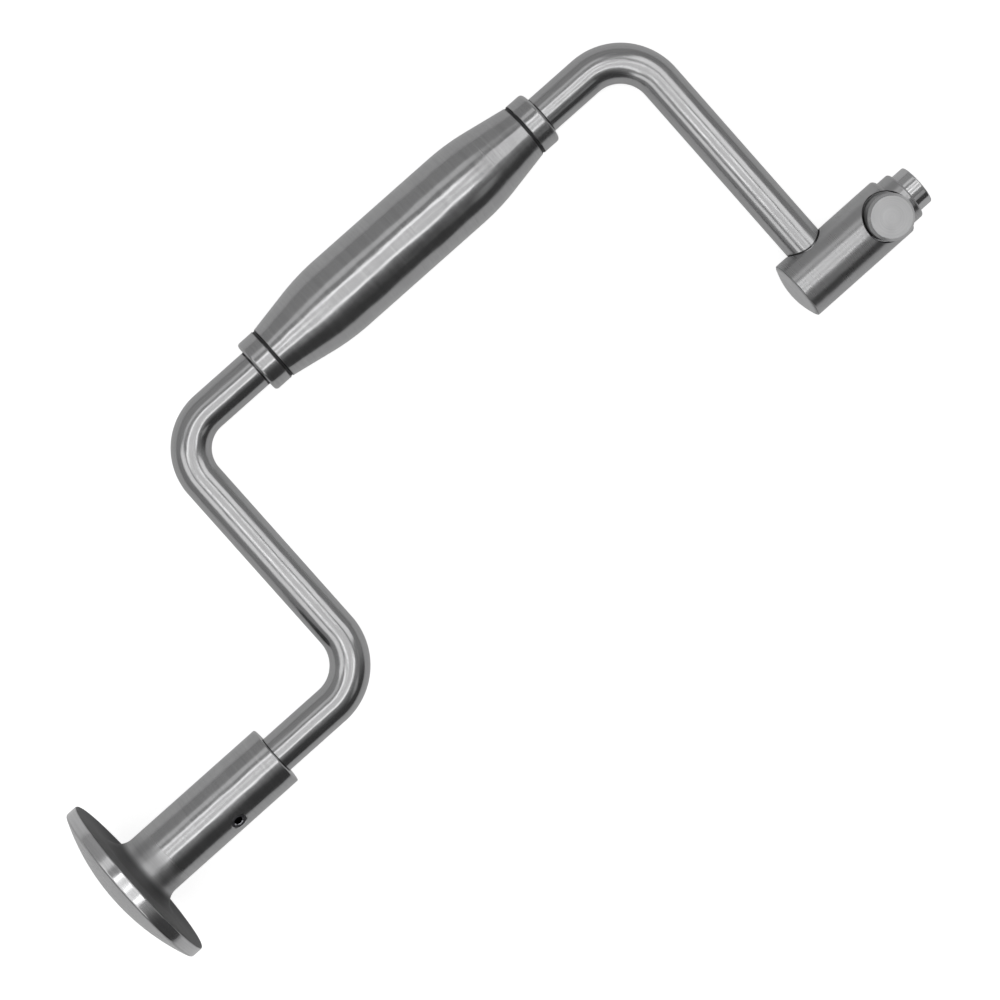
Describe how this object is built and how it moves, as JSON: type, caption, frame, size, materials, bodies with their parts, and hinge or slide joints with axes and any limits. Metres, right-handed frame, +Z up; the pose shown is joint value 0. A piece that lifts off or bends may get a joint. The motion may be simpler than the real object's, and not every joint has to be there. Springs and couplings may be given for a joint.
{
  "type": "surgical hand drill",
  "caption": "Crank-driven surgical hand drill with a swivelling palm rest, a freely turning grip and a push-button chuck for a bit.",
  "frame": {"origin": "centre of the footprint of the tool's box, on the floor that the tool rests on", "axes": "+X from the palm dome to the chuck's nose, +Y from the drive axis toward the grip, +Z up, the side that the button faces. The drive axis dips by the lean of the tool as it rests on the palm disc, the grip and the chuck."},
  "size_m": [0.2618, 0.1066, 0.046],
  "materials": {
    "palm_steel": "satin stainless steel, turned and bead-blasted near the disc",
    "rod_steel": "satin stainless steel, brushed along the rod",
    "collar_steel": "satin stainless steel, turned",
    "grip_steel": "satin stainless steel, turned",
    "chuck_steel": "satin stainless steel, turned",
    "button_steel": "fine matt stainless steel with a bright chamfer",
    "black_steel": "blackened alloy steel",
    "washer_black": "black nylon",
    "hardened_steel": "ground hardened steel",
    "bearing_bronze": "plain bearing bronze",
    "spring_steel": "spring wire"
  },
  "bodies": {
    "crank": {"crank_rod": "rod_steel", "lower_collar": "collar_steel", "upper_collar": "collar_steel", "lower_washer": "washer_black", "upper_washer": "washer_black", "chuck_barrel": "chuck_steel", "chuck_end_cap": "chuck_steel", "drive_insert": "hardened_steel", "guide_pin": "hardened_steel", "button_spring": "spring_steel"},
    "palm": {"palm_rest": "palm_steel", "retaining_screw": "black_steel", "thrust_ball": "hardened_steel"},
    "grip": {"grip_shell": "grip_steel", "lower_bush": "bearing_bronze", "upper_bush": "bearing_bronze"},
    "button": {"push_button": "button_steel"}
  },
  "joints": [
    {"name": "palm_swivel", "type": "hinge", "parent": "crank", "child": "palm", "pos_m": [-0.07855, -0.03033, 0.02021], "axis": [0.9981, 0, -0.0614], "continuous": true},
    {"name": "grip_spin", "type": "hinge", "parent": "crank", "child": "grip", "pos_m": [0.02611, 0.04303, 0.01154], "axis": [0.9981, 0, -0.0614], "continuous": true},
    {"name": "button_press", "type": "slide", "parent": "crank", "child": "button", "axis": [-0.0611, 0.0917, -0.9939], "range_m": [0, 0.0016], "stiffness_N_per_m": 1500, "springref_m": -0.002, "deforming": ["button_spring"]}
  ]
}
